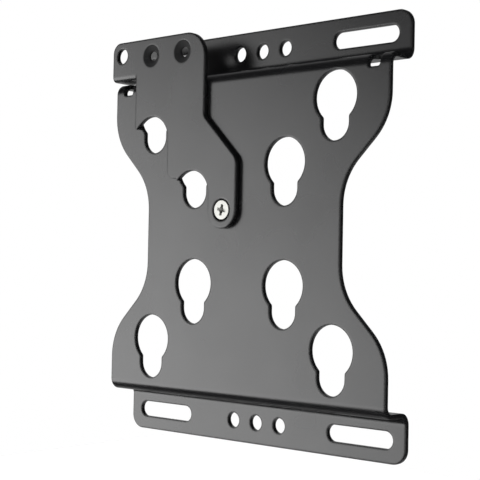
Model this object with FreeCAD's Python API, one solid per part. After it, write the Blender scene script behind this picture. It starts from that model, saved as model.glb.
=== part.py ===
import FreeCAD, Part
import math
import os

# Fixed wall bracket for a flat screen: one folded sheet that is screwed to the wall, and a
# pivoting latch in front of its keyholes that keeps the screen's studs from lifting out.
# Everything is in millimetres. The wall is the plane y = 0, the bracket stands towards -y,
# z is up and the folded sheet is symmetric about x = 0 and z = 0.

SHEET = 2.0  # thickness of both sheets
STANDOFF = 16.3  # wall to the front face of the folded sheet
EDGE_BREAK = 0.25  # bevel along the cut edges that face the room

# folded sheet, outline as seen from the front
HALF_WIDTH = 75.75
HALF_HEIGHT = 88.5
WAIST_HALF_WIDTH = 53.45
SHOULDER_Z = 44.35  # where the straight side and the 45 degree line would cross
OUTLINE_ROUND = 25.0
FLANGE_CORNER_ROUND = 6.0

# folded sheet, side profile
FLANGE_HEIGHT = 18.5  # from a flange's free edge to the outer face of the bent shelf
WEB_TOP_Z = HALF_HEIGHT - FLANGE_HEIGHT
BEND_INNER = 3.0
BEND_OUTER = BEND_INNER + SHEET

# holes for the wall screws, in both flanges
FLANGE_HOLE_INSET = 9.1
FLANGE_HOLE_Z = HALF_HEIGHT - FLANGE_HOLE_INSET
SLOT_INSET = 21.75
SLOT_X = HALF_WIDTH - SLOT_INSET
SLOT_LENGTH = 32.0
SLOT_HEIGHT = 7.0
ROUND_HOLE_DIA = 6.5
ROUND_HOLE_STEP = 12.7

# keyholes on a 100 x 100 and a 50 x 50 pattern
PATTERNS = (50.0, 25.0)
PATTERN_CENTRE_Z = 4.475
KEY_HEAD_R = 10.5
KEY_SLOT_R = 6.83
KEY_DROP = 10.7
KEY_NECK_ROUND = 1.2

# two lock holes punched across the upper bend, for a padlock's shackle
LOCK_INSET = 7.65
LOCK_X = HALF_WIDTH - LOCK_INSET
LOCK_WIDTH = 5.6
LOCK_DROP = 5.65  # from the shelf's outer face down to the hole's foot
LOCK_LOWER_Z = WEB_TOP_Z - LOCK_DROP
LOCK_REACH = 5.8  # from the front face back along the shelf
LOCK_REAR_Y = LOCK_REACH - STANDOFF
LOCK_CORNER_ROUND = 1.2

# latch plate
LATCH_GAP = 0.5
LATCH_BACK = -STANDOFF - LATCH_GAP
LATCH_FRONT = LATCH_BACK - SHEET
TAB_OVERHANG = 0.41  # tab beyond the folded sheet's side
TAB_LEFT = -HALF_WIDTH - TAB_OVERHANG
TAB_BELOW_TOP = 0.18  # tab below the folded sheet's top edge
TAB_TOP = HALF_HEIGHT - TAB_BELOW_TOP
TAB_ROUND_LEFT = 4.75
TAB_ROUND_RIGHT = 11.0
ARM_RIGHT = -18.27
ARM_BEND_Z = 51.27
ARM_BEND_ROUND = 4.0
LEG_RIGHT = 0.76
LEG_BEND_ROUND = 6.0
BODY_LEFT = -60.79
NOTCH_R = 10.0
NOTCH_STEP = PATTERNS[0] - PATTERNS[1]
NOTCH_X = -PATTERNS[0]  # centre of the upper notch, in front of an outer stud seat
NOTCH_Z = 43.03
NOTCH_SLOPE = 40.0  # degrees, run-out of a notch towards its tip
UPPER_TIP_ROUND = 0.8
LOWER_TIP_X = -33.78
LOWER_TIP_ROUND = 0.4
BEAK_WIDTH = 0.5
HIP_Z = 24.96
HIP_ROUND = 4.2

# lip folded back from the tab's lower edge, resting just above the web
LIP_CLEAR = 0.65
LIP_BEND_INNER = 0.2
LIP_DEPTH = 11.0  # from the latch's front face
LIP_CORNER_ROUND = 2.0

# holes in the tab
TAB_LOCK_INSET = 6.23  # from the tab's left edge and from its top
TAB_LOCK_X = TAB_LEFT + TAB_LOCK_INSET
TAB_LOCK_Z = TAB_TOP - TAB_LOCK_INSET
TAB_LOCK_DIA = 6.9
SINK_INSET = 13.45  # from the tab's right edge to the nearer hole
SINK_STEP = 19.43
SINK_XS = (ARM_RIGHT - SINK_INSET - SINK_STEP, ARM_RIGHT - SINK_INSET)
SINK_DROP = 7.83  # from the tab's top
SINK_Z = TAB_TOP - SINK_DROP
SINK_TOP_DIA = 10.0
SINK_HOLE_DIA = 4.2
SINK_LAND = 0.4  # straight part of the hole behind the cone

# pivot: a stepped bush fixed in the folded sheet and a countersunk screw in it
PIVOT_X = -7.02
PIVOT_Z = 10.7
PIVOT_SINK_DIA = 9.8
JOURNAL_R = 3.6
JOURNAL_CLEARANCE = 0.05
JOURNAL_LENGTH = 0.7
SHOULDER_CLEAR = 0.15
BUSH_R = 4.5
BUSH_FLANGE_R = 6.5
BUSH_FLANGE = 1.5
THREAD_R = 2.0
THREAD_CLEARANCE = 0.05
SCREW_HEAD_R = 4.0
SCREW_RECESSED = 0.1  # head below the latch's front face
SCREW_RIM = 0.1
SCREW_LENGTH = 6.0
SCREW_POINT = 0.6
RECESS_TURN = 12.0  # degrees
RECESS_DEPTH = 2.0
RECESS_SPAN = 4.8
RECESS_SPAN_BOTTOM = 2.0
RECESS_WIDTH = 1.3
RECESS_WIDTH_BOTTOM = 0.7
RECESS_CORE_R = 1.3
RECESS_CORE_R_BOTTOM = 0.75

V = FreeCAD.Vector
Y_AXIS = V(0, 1, 0)
SAME = 1e-4  # lengths closer than this count as equal
OVERCUT = 0.5  # how far a cutter stands out of the face it starts from


def rounded_wire(corners, place):
    """Closed wire through (a, b, radius) corners; place turns (a, b) into a point."""
    edges = []
    ends = []
    count = len(corners)
    for i in range(count):
        a, b, radius = corners[i]
        before = corners[i - 1]
        after = corners[(i + 1) % count]
        here = V(a, b, 0)
        back = (V(before[0], before[1], 0) - here).normalize()
        ahead = (V(after[0], after[1], 0) - here).normalize()
        if radius == 0:
            ends.append((here, None, here))
            continue
        half = back.getAngle(ahead) / 2
        reach = radius / math.tan(half)
        middle = here + (back + ahead).normalize() * (radius / math.sin(half))
        inward = (here - middle).normalize()
        ends.append((here + back * reach, middle + inward * radius, here + ahead * reach))
    for i in range(count):
        start, bulge, stop = ends[i]
        next_start = ends[(i + 1) % count][0]
        if bulge is not None:
            points = [place(p.x, p.y) for p in (start, bulge, stop)]
            edges.append(Part.Arc(*points).toShape())
        if stop.distanceToPoint(next_start) > SAME:
            edges.append(Part.makeLine(place(stop.x, stop.y), place(next_start.x, next_start.y)))
    return Part.Wire(edges)


def upright(y):
    """Function that places (x, z) on the plane at this y."""
    return lambda x, z: V(x, y, z)


def plate_between(corners, y_front, y_back):
    """Solid with this front outline between two depths."""
    face = Part.Face(rounded_wire(corners, upright(y_front)))
    return face.extrude(V(0, y_back - y_front, 0))


def drill(x, z, diameter, y_front, y_back):
    """Cylinder along y, a little longer than the depth it goes through."""
    length = y_back - y_front + 2 * OVERCUT
    return Part.makeCylinder(diameter / 2, length, V(x, y_front - OVERCUT, z), Y_AXIS)


def countersink(x, z, top_dia, hole_dia, depth, y_front):
    """Cone that narrows from the front face to the hole over this depth."""
    flare = (top_dia - hole_dia) / 2 * OVERCUT / depth
    return Part.makeCone(
        top_dia / 2 + flare, hole_dia / 2, depth + OVERCUT, V(x, y_front - OVERCUT, z), Y_AXIS
    )


def revolve_about_pivot(half_profile):
    """Turned piece from (radius, y) points, about the pivot's axis."""
    points = [V(PIVOT_X + r, y, PIVOT_Z) for r, y in half_profile]
    face = Part.Face(Part.makePolygon(points + [points[0]]))
    return face.revolve(V(PIVOT_X, 0, PIVOT_Z), Y_AXIS, 360)


def lies_on(shape, y_plane):
    """True for a shape that is flat on this y plane."""
    box = shape.BoundBox
    return abs(box.YMin - y_plane) < SAME and abs(box.YMax - y_plane) < SAME


def break_edges(solid, y_plane, size, keep_z):
    """Bevels the outline of the flat face on this plane, except the bend lines at keep_z."""
    edges = []
    for face in solid.Faces:
        if not lies_on(face, y_plane):
            continue
        for edge in face.OuterWire.Edges:
            box = edge.BoundBox
            level = box.ZMax - box.ZMin < SAME
            bend_line = level and any(abs(box.ZMin - z) < SAME for z in keep_z)
            if not bend_line:
                edges.append(edge)
    return solid.makeChamfer(size, edges)


def keyhole(x, z, y_front, y_back):
    """Cutter: round head, straight slot below it, rounded necks, round foot."""
    neck_x = KEY_SLOT_R + KEY_NECK_ROUND
    reach = KEY_HEAD_R + KEY_NECK_ROUND
    neck_z = -math.sqrt(reach ** 2 - neck_x ** 2)
    ratio = KEY_HEAD_R / reach
    touch = V(neck_x * ratio, neck_z * ratio, 0)
    toward = (touch - V(neck_x, neck_z, 0) + V(-KEY_NECK_ROUND, 0, 0)).normalize()
    bulge = V(neck_x, neck_z, 0) + toward * KEY_NECK_ROUND

    def at(px, pz):
        return V(x + px, y_front, z + pz)

    edges = [
        Part.Arc(at(touch.x, touch.y), at(0, KEY_HEAD_R), at(-touch.x, touch.y)).toShape(),
        Part.Arc(at(-touch.x, touch.y), at(-bulge.x, bulge.y), at(-KEY_SLOT_R, neck_z)).toShape(),
        Part.makeLine(at(-KEY_SLOT_R, neck_z), at(-KEY_SLOT_R, -KEY_DROP)),
        Part.Arc(
            at(-KEY_SLOT_R, -KEY_DROP), at(0, -KEY_DROP - KEY_SLOT_R), at(KEY_SLOT_R, -KEY_DROP)
        ).toShape(),
        Part.makeLine(at(KEY_SLOT_R, -KEY_DROP), at(KEY_SLOT_R, neck_z)),
        Part.Arc(at(KEY_SLOT_R, neck_z), at(bulge.x, bulge.y), at(touch.x, touch.y)).toShape(),
    ]
    return Part.Face(Part.Wire(edges)).extrude(V(0, y_back - y_front, 0))


def lock_hole(x, y_front, z_top):
    """Cutter for a rounded square hole that goes round the upper bend."""
    block = Part.makeBox(
        LOCK_WIDTH, LOCK_REAR_Y - y_front, z_top - LOCK_LOWER_Z,
        V(x - LOCK_WIDTH / 2, y_front, LOCK_LOWER_Z),
    )
    corners = []
    for edge in block.Edges:
        box = edge.BoundBox
        at_rear = abs(box.YMin - LOCK_REAR_Y) < SAME and box.ZLength > SAME
        at_foot = abs(box.ZMax - LOCK_LOWER_Z) < SAME and box.YLength > SAME
        if at_rear or at_foot:
            corners.append(edge)
    return block.makeFillet(LOCK_CORNER_ROUND, corners)


def wall_plate():
    """The folded sheet, from its side profile and its front outline."""
    front = -STANDOFF
    inner_z = WEB_TOP_Z - SHEET
    profile = [
        (0, HALF_HEIGHT, 0),
        (-SHEET, HALF_HEIGHT, 0),
        (-SHEET, WEB_TOP_Z, BEND_INNER),
        (front, WEB_TOP_Z, BEND_OUTER),
        (front, -WEB_TOP_Z, BEND_OUTER),
        (-SHEET, -WEB_TOP_Z, BEND_INNER),
        (-SHEET, -HALF_HEIGHT, 0),
        (0, -HALF_HEIGHT, 0),
        (0, -inner_z, BEND_OUTER),
        (front + SHEET, -inner_z, BEND_INNER),
        (front + SHEET, inner_z, BEND_INNER),
        (0, inner_z, BEND_OUTER),
    ]
    wire = rounded_wire(profile, lambda y, z: V(-HALF_WIDTH - OVERCUT, y, z))
    folded = Part.Face(wire).extrude(V(2 * (HALF_WIDTH + OVERCUT), 0, 0))

    waist_z = SHOULDER_Z - (HALF_WIDTH - WAIST_HALF_WIDTH)
    right = [
        (HALF_WIDTH, HALF_HEIGHT, FLANGE_CORNER_ROUND),
        (HALF_WIDTH, SHOULDER_Z, OUTLINE_ROUND),
        (WAIST_HALF_WIDTH, waist_z, OUTLINE_ROUND),
        (WAIST_HALF_WIDTH, -waist_z, OUTLINE_ROUND),
        (HALF_WIDTH, -SHOULDER_Z, OUTLINE_ROUND),
        (HALF_WIDTH, -HALF_HEIGHT, FLANGE_CORNER_ROUND),
    ]
    left = [(-x, z, r) for x, z, r in reversed(right)]
    solid = folded.common(plate_between(right + left, front - OVERCUT, OVERCUT))
    lock_holes = [lock_hole(x, front - OVERCUT, WEB_TOP_Z + OVERCUT) for x in (-LOCK_X, LOCK_X)]
    bend_line_z = WEB_TOP_Z - BEND_OUTER
    solid = break_edges(solid.cut(lock_holes), front, EDGE_BREAK, (-bend_line_z, bend_line_z))

    cutters = []
    for pattern in PATTERNS:
        for x in (-pattern, pattern):
            for z in (-pattern, pattern):
                deep = front + SHEET + OVERCUT
                cutters.append(keyhole(x, z + PATTERN_CENTRE_Z, front - OVERCUT, deep))
    slot_round = SLOT_HEIGHT / 2
    for side_z in (-FLANGE_HOLE_Z, FLANGE_HOLE_Z):
        for x in (-SLOT_X, SLOT_X):
            straight = SLOT_LENGTH / 2 - slot_round
            bar = Part.makeBox(
                2 * straight, SHEET + 2 * OVERCUT, SLOT_HEIGHT,
                V(x - straight, -SHEET - OVERCUT, side_z - slot_round),
            )
            for end_x in (x - straight, x + straight):
                bar = bar.fuse(drill(end_x, side_z, SLOT_HEIGHT, -SHEET, 0))
            cutters.append(bar.removeSplitter())
        for x in (-ROUND_HOLE_STEP, 0, ROUND_HOLE_STEP):
            cutters.append(drill(x, side_z, ROUND_HOLE_DIA, -SHEET, 0))
    cutters.append(drill(PIVOT_X, PIVOT_Z, 2 * BUSH_R, front, front + SHEET))
    return solid.cut(cutters)


def latch_plate():
    """The latch: outline with two notches, tab on top, lip folded back under the tab."""
    slope = math.radians(NOTCH_SLOPE)
    touch_x = NOTCH_X - NOTCH_R * math.sin(slope)
    touch_z = NOTCH_Z + NOTCH_R * math.cos(slope)
    rise = math.tan(slope)
    notch_right = NOTCH_X + NOTCH_R
    notch_corner_z = touch_z + (notch_right - touch_x) * rise
    upper_tip_z = touch_z + (BODY_LEFT - touch_x) * rise
    lower_tip_z = touch_z - NOTCH_STEP + (LOWER_TIP_X - (touch_x + NOTCH_STEP)) * rise
    leg_r = (LEG_RIGHT - (notch_right + NOTCH_STEP)) / 2
    leg_bend_z = ARM_BEND_Z - (LEG_RIGHT - ARM_RIGHT)
    lip_under = WEB_TOP_Z + LIP_CLEAR
    bend_outer = LIP_BEND_INNER + SHEET
    flat_end = lip_under + bend_outer
    outline = [
        (TAB_LEFT, TAB_TOP, TAB_ROUND_LEFT),
        (ARM_RIGHT, TAB_TOP, TAB_ROUND_RIGHT),
        (ARM_RIGHT, ARM_BEND_Z, ARM_BEND_ROUND),
        (LEG_RIGHT, leg_bend_z, LEG_BEND_ROUND),
        (LEG_RIGHT, PIVOT_Z - leg_r, leg_r),
        (notch_right + NOTCH_STEP, PIVOT_Z - leg_r, leg_r),
        (notch_right + NOTCH_STEP, notch_corner_z - NOTCH_STEP, NOTCH_R),
        (LOWER_TIP_X, lower_tip_z, LOWER_TIP_ROUND),
        (LOWER_TIP_X - BEAK_WIDTH, HIP_Z, LOWER_TIP_ROUND),
        (notch_right, HIP_Z, HIP_ROUND),
        (notch_right, notch_corner_z, NOTCH_R),
        (BODY_LEFT, upper_tip_z, UPPER_TIP_ROUND),
        (BODY_LEFT, flat_end, 0),
        (TAB_LEFT, flat_end, 0),
    ]
    plate = plate_between(outline, LATCH_FRONT, LATCH_BACK)
    plate = break_edges(plate, LATCH_FRONT, EDGE_BREAK, (flat_end,))

    lip_back = LATCH_FRONT + LIP_DEPTH
    side = [
        (LATCH_FRONT, flat_end, 0),
        (LATCH_FRONT, lip_under, bend_outer),
        (lip_back, lip_under, 0),
        (lip_back, lip_under + SHEET, 0),
        (LATCH_BACK, lip_under + SHEET, LIP_BEND_INNER),
        (LATCH_BACK, flat_end, 0),
    ]
    wire = rounded_wire(side, lambda y, z: V(TAB_LEFT, y, z))
    lip = Part.Face(wire).extrude(V(BODY_LEFT - TAB_LEFT, 0, 0))
    from_above = [
        (TAB_LEFT, LATCH_FRONT - OVERCUT, 0),
        (BODY_LEFT, LATCH_FRONT - OVERCUT, 0),
        (BODY_LEFT, lip_back, LIP_CORNER_ROUND),
        (TAB_LEFT, lip_back, LIP_CORNER_ROUND),
    ]
    trim_wire = rounded_wire(from_above, lambda x, y: V(x, y, lip_under - OVERCUT))
    lip = lip.common(Part.Face(trim_wire).extrude(V(0, 0, bend_outer + 2 * OVERCUT)))
    lip = lip.makeChamfer(EDGE_BREAK, [
        edge for edge in lip.Edges
        if edge.BoundBox.XLength < SAME and abs(edge.BoundBox.ZMin - lip_under) < SAME
        and abs(edge.BoundBox.ZMax - flat_end) < SAME
    ])

    solid = plate.fuse(lip).removeSplitter()
    cutters = [drill(TAB_LOCK_X, TAB_LOCK_Z, TAB_LOCK_DIA, LATCH_FRONT, LATCH_BACK)]
    for x in SINK_XS:
        cutters.append(drill(x, SINK_Z, SINK_HOLE_DIA, LATCH_FRONT, LATCH_BACK))
        cutters.append(
            countersink(x, SINK_Z, SINK_TOP_DIA, SINK_HOLE_DIA, SHEET - SINK_LAND, LATCH_FRONT)
        )
    bore = 2 * (JOURNAL_R + JOURNAL_CLEARANCE)
    cutters.append(drill(PIVOT_X, PIVOT_Z, bore, LATCH_FRONT, LATCH_BACK))
    sink_depth = (PIVOT_SINK_DIA - bore) / 2
    cutters.append(countersink(PIVOT_X, PIVOT_Z, PIVOT_SINK_DIA, bore, sink_depth, LATCH_FRONT))
    return solid.cut(cutters)


def screw_cone_radius(y):
    """Radius of the screw head's cone at this depth."""
    return SCREW_HEAD_R - (y - (LATCH_FRONT + SCREW_RECESSED + SCREW_RIM))


def pivot_bush():
    """Stepped bush: flange behind the sheet, shoulder in front, journal inside the latch."""
    sheet_back = -STANDOFF + SHEET
    flange_back = sheet_back + BUSH_FLANGE
    shoulder = LATCH_BACK + SHOULDER_CLEAR
    tip = shoulder - JOURNAL_LENGTH
    seat_r = screw_cone_radius(tip)
    seat_end = tip + (seat_r - THREAD_R)
    return revolve_about_pivot([
        (THREAD_R, flange_back),
        (BUSH_FLANGE_R, flange_back),
        (BUSH_FLANGE_R, sheet_back),
        (BUSH_R, sheet_back),
        (BUSH_R, shoulder),
        (JOURNAL_R, shoulder),
        (JOURNAL_R, tip),
        (seat_r, tip),
        (THREAD_R, seat_end),
    ])


def recess_bar(span, width, span_bottom, width_bottom, y_top, y_bottom):
    """One arm pair of the cross recess, narrowing with depth."""
    def ring(length, thick, y):
        a = length / 2
        b = thick / 2
        points = [
            V(PIVOT_X - a, y, PIVOT_Z - b), V(PIVOT_X + a, y, PIVOT_Z - b),
            V(PIVOT_X + a, y, PIVOT_Z + b), V(PIVOT_X - a, y, PIVOT_Z + b),
        ]
        return Part.makePolygon(points + [points[0]])

    return Part.makeLoft([ring(span, width, y_top), ring(span_bottom, width_bottom, y_bottom)], True)


def pivot_screw():
    """Countersunk screw with a cross recess."""
    top = LATCH_FRONT + SCREW_RECESSED
    rim = top + SCREW_RIM
    shank_r = THREAD_R - THREAD_CLEARANCE
    cone_end = rim + (SCREW_HEAD_R - shank_r)
    end = top + SCREW_LENGTH
    body = revolve_about_pivot([
        (0, top),
        (SCREW_HEAD_R, top),
        (SCREW_HEAD_R, rim),
        (shank_r, cone_end),
        (shank_r, end - SCREW_POINT),
        (shank_r - SCREW_POINT, end),
        (0, end),
    ])
    start = top - SAME
    bottom = top + RECESS_DEPTH
    arm = recess_bar(
        RECESS_SPAN, RECESS_WIDTH, RECESS_SPAN_BOTTOM, RECESS_WIDTH_BOTTOM, start, bottom
    )
    centre = V(PIVOT_X, 0, PIVOT_Z)
    core = Part.makeCone(
        RECESS_CORE_R, RECESS_CORE_R_BOTTOM, bottom - start, V(PIVOT_X, start, PIVOT_Z), Y_AXIS
    )
    cross = core
    for turn in (0, 90):
        piece = arm.copy()
        piece.rotate(centre, Y_AXIS, turn + RECESS_TURN)
        cross = cross.fuse(piece)
    return body.cut(cross)


os.makedirs("parts", exist_ok=True)
pieces = {
    "wall_plate": wall_plate(),
    "latch_plate": latch_plate(),
    "pivot_bush": pivot_bush(),
    "pivot_screw": pivot_screw(),
}
for name, shape in pieces.items():
    solid = shape.Solids[0]
    print(name, shape.isValid(), len(shape.Solids), len(shape.Faces), round(shape.Volume, 1))
    solid.exportStep("parts/" + name + ".step")
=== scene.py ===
import bpy
from mathutils import Matrix, Vector


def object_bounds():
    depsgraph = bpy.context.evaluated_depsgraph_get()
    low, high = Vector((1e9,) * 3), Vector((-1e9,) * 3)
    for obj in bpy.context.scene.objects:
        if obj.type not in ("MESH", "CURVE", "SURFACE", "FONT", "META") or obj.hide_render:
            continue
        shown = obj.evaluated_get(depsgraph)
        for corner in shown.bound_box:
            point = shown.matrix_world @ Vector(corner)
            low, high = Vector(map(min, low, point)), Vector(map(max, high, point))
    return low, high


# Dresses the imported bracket: a black powder coat on both sheets and plated steel on the bush
# and the screw, then a pale floor, soft studio light and the camera. It adds no shape.

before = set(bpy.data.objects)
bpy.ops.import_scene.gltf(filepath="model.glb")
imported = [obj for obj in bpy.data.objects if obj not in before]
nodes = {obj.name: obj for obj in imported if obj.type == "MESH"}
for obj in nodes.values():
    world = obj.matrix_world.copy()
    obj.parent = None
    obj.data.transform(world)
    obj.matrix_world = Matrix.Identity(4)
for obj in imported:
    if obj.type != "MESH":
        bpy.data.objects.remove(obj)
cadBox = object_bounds()
print("frame loaded:", ", ".join(sorted(nodes)))

mm = 0.001  # the scene is in metres
noiseLow, noiseHigh = 0.3, 0.7  # a noise pattern hardly leaves this range
pivotPoint = Vector((-7.02, -17.0, 10.7)) * mm  # on the axis that the latch turns about


def linear(code):
    channels = [int(code[i:i + 2], 16) / 255 for i in (1, 3, 5)]
    return [c / 12.92 if c <= 0.04045 else ((c + 0.055) / 1.055) ** 2.4 for c in channels] + [1.0]


def emptyTree(owner):
    owner.use_nodes = True
    owner.node_tree.nodes.clear()
    return owner.node_tree


def addNode(tree, kind, settings=None, values=None, links=None):
    # An input is named, or numbered where two share a name. A Mix node takes its two colours
    # at 6 and 7 and gives their mix at output 2.
    node = tree.nodes.new(kind)
    for key, value in (settings or {}).items():
        setattr(node, key, value)
    for key, value in (values or {}).items():
        node.inputs[key].default_value = value
    for key, source in (links or {}).items():
        tree.links.new(source, node.inputs[key])
    return node


def powderCoat():
    # Black powder, sprayed dry on the punched steel and baked. It levels to a satin film with
    # a faint orange peel, and its gloss drifts over a few centimetres. It hardly flows in the
    # two countersinks of the latch's tab, so it stays rough and dull there.
    coat = {
        "dark": "#0f0f10",
        "light": "#131314",
        "driftMm": 28.0,
        "roughness": 0.26,
        "roughnessDrift": 0.03,
        "peelMm": 1.1,
        "peelHeightMm": 0.0022,
        "gritMm": 0.16,  # about twice the real grain, which wouldn't show
        "gritHeightMm": 0.0005,
        "edgeRoundMm": 1.2,  # wider than the film itself rounds an edge, which wouldn't show
        "edgeSamples": 6,
        "sinkCentresMm": ((-51.15, -17.8, 80.49), (-31.72, -17.8, 80.49)),
        "sinkReachMm": 5.1,
        "sinkRoughness": 0.9,
    }
    material = bpy.data.materials.new("black powder coat")
    tree = emptyTree(material)
    place = addNode(tree, "ShaderNodeTexCoord").outputs["Object"]
    noise = {}
    for pattern, detail in (("drift", 2.0), ("peel", 1.0), ("grit", 2.0)):
        noise[pattern] = addNode(tree, "ShaderNodeTexNoise", values={
            "Scale": 1 / (coat[pattern + "Mm"] * mm), "Detail": detail,
        }, links={"Vector": place}).outputs["Fac"]

    colour = addNode(tree, "ShaderNodeMix", {"data_type": "RGBA"}, values={
        6: linear(coat["dark"]), 7: linear(coat["light"]),
    }, links={"Factor": noise["drift"]}).outputs[2]

    rough = addNode(tree, "ShaderNodeMapRange", values={
        "From Min": noiseLow, "To Min": coat["roughness"] - coat["roughnessDrift"],
        "From Max": noiseHigh, "To Max": coat["roughness"] + coat["roughnessDrift"],
    }, links={"Value": noise["drift"]}).outputs["Result"]
    for centre in coat["sinkCentresMm"]:
        away = addNode(tree, "ShaderNodeVectorMath", {"operation": "DISTANCE"}, values={
            1: Vector(centre) * mm,
        }, links={0: place}).outputs["Value"]
        inside = addNode(tree, "ShaderNodeMath", {"operation": "LESS_THAN"}, values={
            1: coat["sinkReachMm"] * mm,
        }, links={0: away}).outputs["Value"]
        rough = addNode(tree, "ShaderNodeMix", values={
            "B": coat["sinkRoughness"],
        }, links={"Factor": inside, "A": rough}).outputs["Result"]

    normal = addNode(tree, "ShaderNodeBevel", {"samples": coat["edgeSamples"]}, values={
        "Radius": coat["edgeRoundMm"] * mm,
    }).outputs["Normal"]
    for pattern in ("grit", "peel"):
        normal = addNode(tree, "ShaderNodeBump", values={
            "Strength": 1.0, "Distance": coat[pattern + "HeightMm"] * mm,
        }, links={"Height": noise[pattern], "Normal": normal}).outputs["Normal"]

    shader = addNode(tree, "ShaderNodeBsdfPrincipled", links={
        "Base Color": colour, "Roughness": rough, "Normal": normal,
    }).outputs["BSDF"]
    addNode(tree, "ShaderNodeOutputMaterial", links={"Surface": shader})
    return material


def platedSteel(name, finish):
    # Steel turned on a lathe, then plated with zinc. It is bright but not a mirror, with fine
    # rings about the pivot's axis and a faint mottling. The rings are about twice as wide as
    # real tool marks, which wouldn't show.
    material = bpy.data.materials.new(name)
    tree = emptyTree(material)
    place = addNode(tree, "ShaderNodeTexCoord").outputs["Object"]
    fromPivot = addNode(tree, "ShaderNodeVectorMath", {"operation": "SUBTRACT"}, values={
        1: pivotPoint,
    }, links={0: place}).outputs["Vector"]
    acrossAxis = addNode(tree, "ShaderNodeVectorMath", {"operation": "MULTIPLY"}, values={
        1: (1, 0, 1),
    }, links={0: fromPivot}).outputs["Vector"]
    radius = addNode(tree, "ShaderNodeVectorMath", {"operation": "LENGTH"}, links={
        0: acrossAxis,
    }).outputs["Value"]
    rings = addNode(tree, "ShaderNodeTexNoise", {"noise_dimensions": "1D"}, values={
        "Scale": 1 / (finish["ringMm"] * mm), "Detail": 1.0,
    }, links={"W": radius}).outputs["Fac"]
    mottle = addNode(tree, "ShaderNodeTexNoise", values={
        "Scale": 1 / (finish["mottleMm"] * mm), "Detail": 3.0,
    }, links={"Vector": place}).outputs["Fac"]

    colour = addNode(tree, "ShaderNodeMix", {"data_type": "RGBA"}, values={
        6: linear(finish["dark"]), 7: linear(finish["light"]),
    }, links={"Factor": mottle}).outputs[2]
    rough = addNode(tree, "ShaderNodeMapRange", values={
        "From Min": noiseLow, "To Min": finish["smoothest"],
        "From Max": noiseHigh, "To Max": finish["roughest"],
    }, links={"Value": mottle}).outputs["Result"]
    normal = addNode(tree, "ShaderNodeBump", values={
        "Strength": 1.0, "Distance": finish["ringHeightMm"] * mm,
    }, links={"Height": rings}).outputs["Normal"]
    shader = addNode(tree, "ShaderNodeBsdfPrincipled", values={
        "Metallic": finish["metallic"],
    }, links={"Base Color": colour, "Roughness": rough, "Normal": normal}).outputs["BSDF"]
    addNode(tree, "ShaderNodeOutputMaterial", links={"Surface": shader})
    return material


def dress(name, material):
    for slot in nodes[name].material_slots:
        slot.material = material


blackCoat = powderCoat()
dress("wall_plate", blackCoat)
dress("latch_plate", blackCoat)
dress("pivot_bush", platedSteel("zinc plated steel", {
    "dark": "#9c9c99", "light": "#bdbdb9", "metallic": 0.85,
    "smoothest": 0.3, "roughest": 0.42, "mottleMm": 2.0,
    "ringMm": 0.12, "ringHeightMm": 0.002,
}))
dress("pivot_screw", platedSteel("bright zinc plated steel", {
    "dark": "#8f8f8c", "light": "#a6a6a2", "metallic": 0.85,
    "smoothest": 0.3, "roughest": 0.4, "mottleMm": 1.5,
    "ringMm": 0.2, "ringHeightMm": 0.001,
}))
print("sheets, bush and screw dressed")


def makeFloor():
    # white matt studio floor, very faintly cloudy, far below the bracket, which hangs on a wall
    floor = {
        "half": 6.0, "drop": 1.2, "roughness": 0.9,
        "dark": "#f1f1f0", "light": "#f8f8f7", "cloudMm": 180.0,
    }
    material = bpy.data.materials.new("pale matt floor")
    tree = emptyTree(material)
    place = addNode(tree, "ShaderNodeTexCoord").outputs["Object"]
    cloud = addNode(tree, "ShaderNodeTexNoise", values={
        "Scale": 1 / (floor["cloudMm"] * mm), "Detail": 2.0,
    }, links={"Vector": place}).outputs["Fac"]
    colour = addNode(tree, "ShaderNodeMix", {"data_type": "RGBA"}, values={
        6: linear(floor["dark"]), 7: linear(floor["light"]),
    }, links={"Factor": cloud}).outputs[2]
    shader = addNode(tree, "ShaderNodeBsdfPrincipled", values={
        "Roughness": floor["roughness"],
    }, links={"Base Color": colour}).outputs["BSDF"]
    addNode(tree, "ShaderNodeOutputMaterial", links={"Surface": shader})

    level = cadBox[0].z - floor["drop"]
    corners = [(x * floor["half"], y * floor["half"], level) for x, y in (
        (-1, -1), (1, -1), (1, 1), (-1, 1),
    )]
    mesh = bpy.data.meshes.new("floor")
    mesh.from_pydata(corners, [], [(0, 1, 2, 3)])
    mesh.materials.append(material)
    sheet = bpy.data.objects.new("floor", mesh)
    sheet.visible_glossy = False
    bpy.context.scene.collection.objects.link(sheet)


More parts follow.
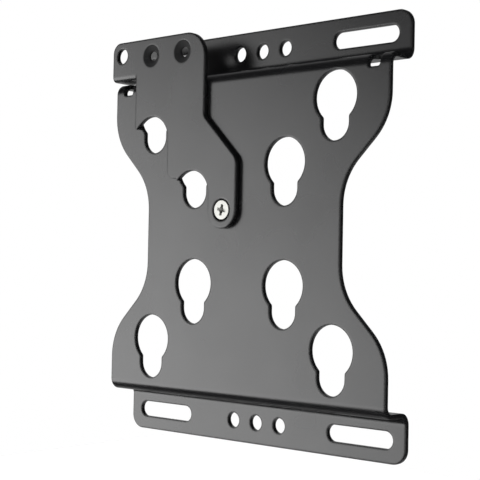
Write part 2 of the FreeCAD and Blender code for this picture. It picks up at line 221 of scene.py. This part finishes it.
def makeStudio():
    # The camera sees plain white past the floor. Surfaces mirror a dark room instead, with a
    # pale backdrop behind the bracket that fades upwards and to the right.
    room = {
        "seen": 1.0, "dim": 0.02, "backdrop": 0.42, "backdropFrom": 0.0, "backdropTo": 0.35,
        "brightToward": (-1.0, 0.0, -0.5), "fadeFrom": -0.25, "fadeTo": 0.25,
    }
    world = bpy.data.worlds.new("studio")
    tree = emptyTree(world)
    place = addNode(tree, "ShaderNodeTexCoord").outputs["Object"]
    depth = addNode(tree, "ShaderNodeSeparateXYZ", links={"Vector": place}).outputs["Y"]
    behind = addNode(tree, "ShaderNodeMapRange", values={
        "From Min": room["backdropFrom"], "To Min": 0.0,
        "From Max": room["backdropTo"], "To Max": room["backdrop"],
    }, links={"Value": depth}).outputs["Result"]
    lowLeft = addNode(tree, "ShaderNodeVectorMath", {"operation": "DOT_PRODUCT"}, values={
        1: room["brightToward"],
    }, links={0: place}).outputs["Value"]
    fade = addNode(tree, "ShaderNodeMapRange", values={
        "From Min": room["fadeFrom"], "To Min": 0.0, "From Max": room["fadeTo"], "To Max": 1.0,
    }, links={"Value": lowLeft}).outputs["Result"]
    mirrored = addNode(tree, "ShaderNodeMath", {"operation": "MULTIPLY_ADD"}, values={
        2: room["dim"],
    }, links={0: behind, 1: fade}).outputs["Value"]
    isSeen = addNode(tree, "ShaderNodeLightPath").outputs["Is Camera Ray"]
    level = addNode(tree, "ShaderNodeMix", values={
        "B": room["seen"],
    }, links={"Factor": isSeen, "A": mirrored}).outputs["Result"]
    light = addNode(tree, "ShaderNodeBackground", values={
        "Color": linear("#ffffff"),
    }, links={"Strength": level}).outputs["Background"]
    addNode(tree, "ShaderNodeOutputWorld", links={"Surface": light})
    bpy.context.scene.world = world


def softLight(name, lamp):
    # very soft light, the same everywhere, that shows in no reflection
    light = bpy.data.lights.new(name, "SUN")
    light.energy = lamp["energy"]
    light.angle = lamp["softness"]
    holder = bpy.data.objects.new(name, light)
    holder.visible_glossy = False
    holder.rotation_euler = Vector(lamp["toward"]).to_track_quat("-Z", "Y").to_euler()
    bpy.context.scene.collection.objects.link(holder)


def gradedSoftbox(name, cloth):
    # An upright cloth with a pool of light that fades to nothing at its rim. The camera doesn't
    # see it, but the sheets mirror it. Sides and heights on it are in metres from its middle.
    facingX, facingY = cloth["facing"]
    across = Vector((facingY, -facingX, 0))
    middle = Vector((facingX, facingY, 0)) * cloth["distance"]
    left, right = cloth["sides"]
    bottom, top = cloth["heights"]
    corners = [middle + across * side + Vector((0, 0, height)) for side, height in (
        (left, bottom), (right, bottom), (right, top), (left, top),
    )]

    material = bpy.data.materials.new(name + " cloth")
    tree = emptyTree(material)
    place = addNode(tree, "ShaderNodeTexCoord").outputs["Object"]
    sideways = addNode(tree, "ShaderNodeVectorMath", {"operation": "DOT_PRODUCT"}, values={
        1: across,
    }, links={0: place}).outputs["Value"]
    upwards = addNode(tree, "ShaderNodeSeparateXYZ", links={"Vector": place}).outputs["Z"]
    onCloth = addNode(tree, "ShaderNodeCombineXYZ", links={
        "X": sideways, "Y": upwards,
    }).outputs["Vector"]
    # distance from the hot spot as a share of the pool's reach: 0 in the middle, 1 at the rim
    share = addNode(tree, "ShaderNodeVectorMath", {"operation": "MULTIPLY_ADD"}, values={
        1: [1 / reach for reach in cloth["reach"]] + [0],
        2: [-spot / reach for spot, reach in zip(cloth["hotSpot"], cloth["reach"])] + [0],
    }, links={0: onCloth}).outputs["Vector"]
    squared = addNode(tree, "ShaderNodeVectorMath", {"operation": "DOT_PRODUCT"}, links={
        0: share, 1: share,
    }).outputs["Value"]
    level = addNode(tree, "ShaderNodeMapRange", values={
        "From Min": cloth["evenShare"], "To Min": cloth["strength"],
        "From Max": 1.0, "To Max": 0.0,
    }, links={"Value": squared}).outputs["Result"]
    glow = addNode(tree, "ShaderNodeEmission", links={"Strength": level}).outputs["Emission"]
    addNode(tree, "ShaderNodeOutputMaterial", links={"Surface": glow})

    mesh = bpy.data.meshes.new(name)
    mesh.from_pydata(corners, [], [(0, 1, 2, 3)])
    mesh.materials.append(material)
    box = bpy.data.objects.new(name, mesh)
    box.visible_camera = False
    bpy.context.scene.collection.objects.link(box)


makeFloor()
makeStudio()
softLight("ceiling", {"toward": (0, 0, -1), "energy": 3.9, "softness": 1.2})
softLight("light on the back", {"toward": (0.45, -0.9, 0.0), "energy": 26.0, "softness": 1.2})
# the main light, left of the camera, brightest low down
gradedSoftbox("front softbox", {
    "distance": 1.2, "facing": (-0.766, -0.643), "sides": (-0.8, 0.68), "heights": (-0.74, 0.54),
    "hotSpot": (0.0, -0.5), "reach": (0.81, 1.04), "strength": 4.84, "evenShare": 0.2,
})
# two weak fills for the other sides, straight ahead of the bracket and on the right
gradedSoftbox("middle softbox", {
    "distance": 1.2, "facing": (0.05, -0.999), "sides": (-0.42, 0.3), "heights": (-0.6, 0.5),
    "hotSpot": (0.0, -0.1), "reach": (0.42, 0.7), "strength": 1.4, "evenShare": 0.05,
})
gradedSoftbox("fill softbox", {
    "distance": 1.2, "facing": (0.87, -0.493), "sides": (-0.6, 0.6), "heights": (-0.75, 0.65),
    "hotSpot": (0.0, -0.1), "reach": (0.75, 0.8), "strength": 1.2, "evenShare": 0.1,
})
print("floor, studio and lights set")


def makeCamera():
    # solved from the outline and the holes in the photograph
    view = {
        "spot": Vector((0.32742, -0.38425, -0.01361)),
        "right": Vector((0.7489729, 0.66232793, 0.01900802)),
        "down": Vector((-0.00150104, 0.03038293, -0.99953721)),
        "ahead": Vector((-0.66259893, 0.74859775, 0.02375017)),
        "lensMm": 88.35,
        "sensorMm": 36,
        "nearest": 0.01,
        "farthest": 50,
    }
    lens = bpy.data.cameras.new("camera")
    lens.lens = view["lensMm"]
    lens.sensor_width = view["sensorMm"]
    lens.clip_start = view["nearest"]
    lens.clip_end = view["farthest"]
    camera = bpy.data.objects.new("camera", lens)
    axes = Matrix((view["right"], -view["down"], -view["ahead"])).transposed()
    camera.matrix_world = Matrix.Translation(view["spot"]) @ axes.to_4x4()
    bpy.context.scene.collection.objects.link(camera)
    bpy.context.scene.camera = camera
    bpy.context.scene.view_settings.view_transform = "Standard"


makeCamera()
print("camera set")
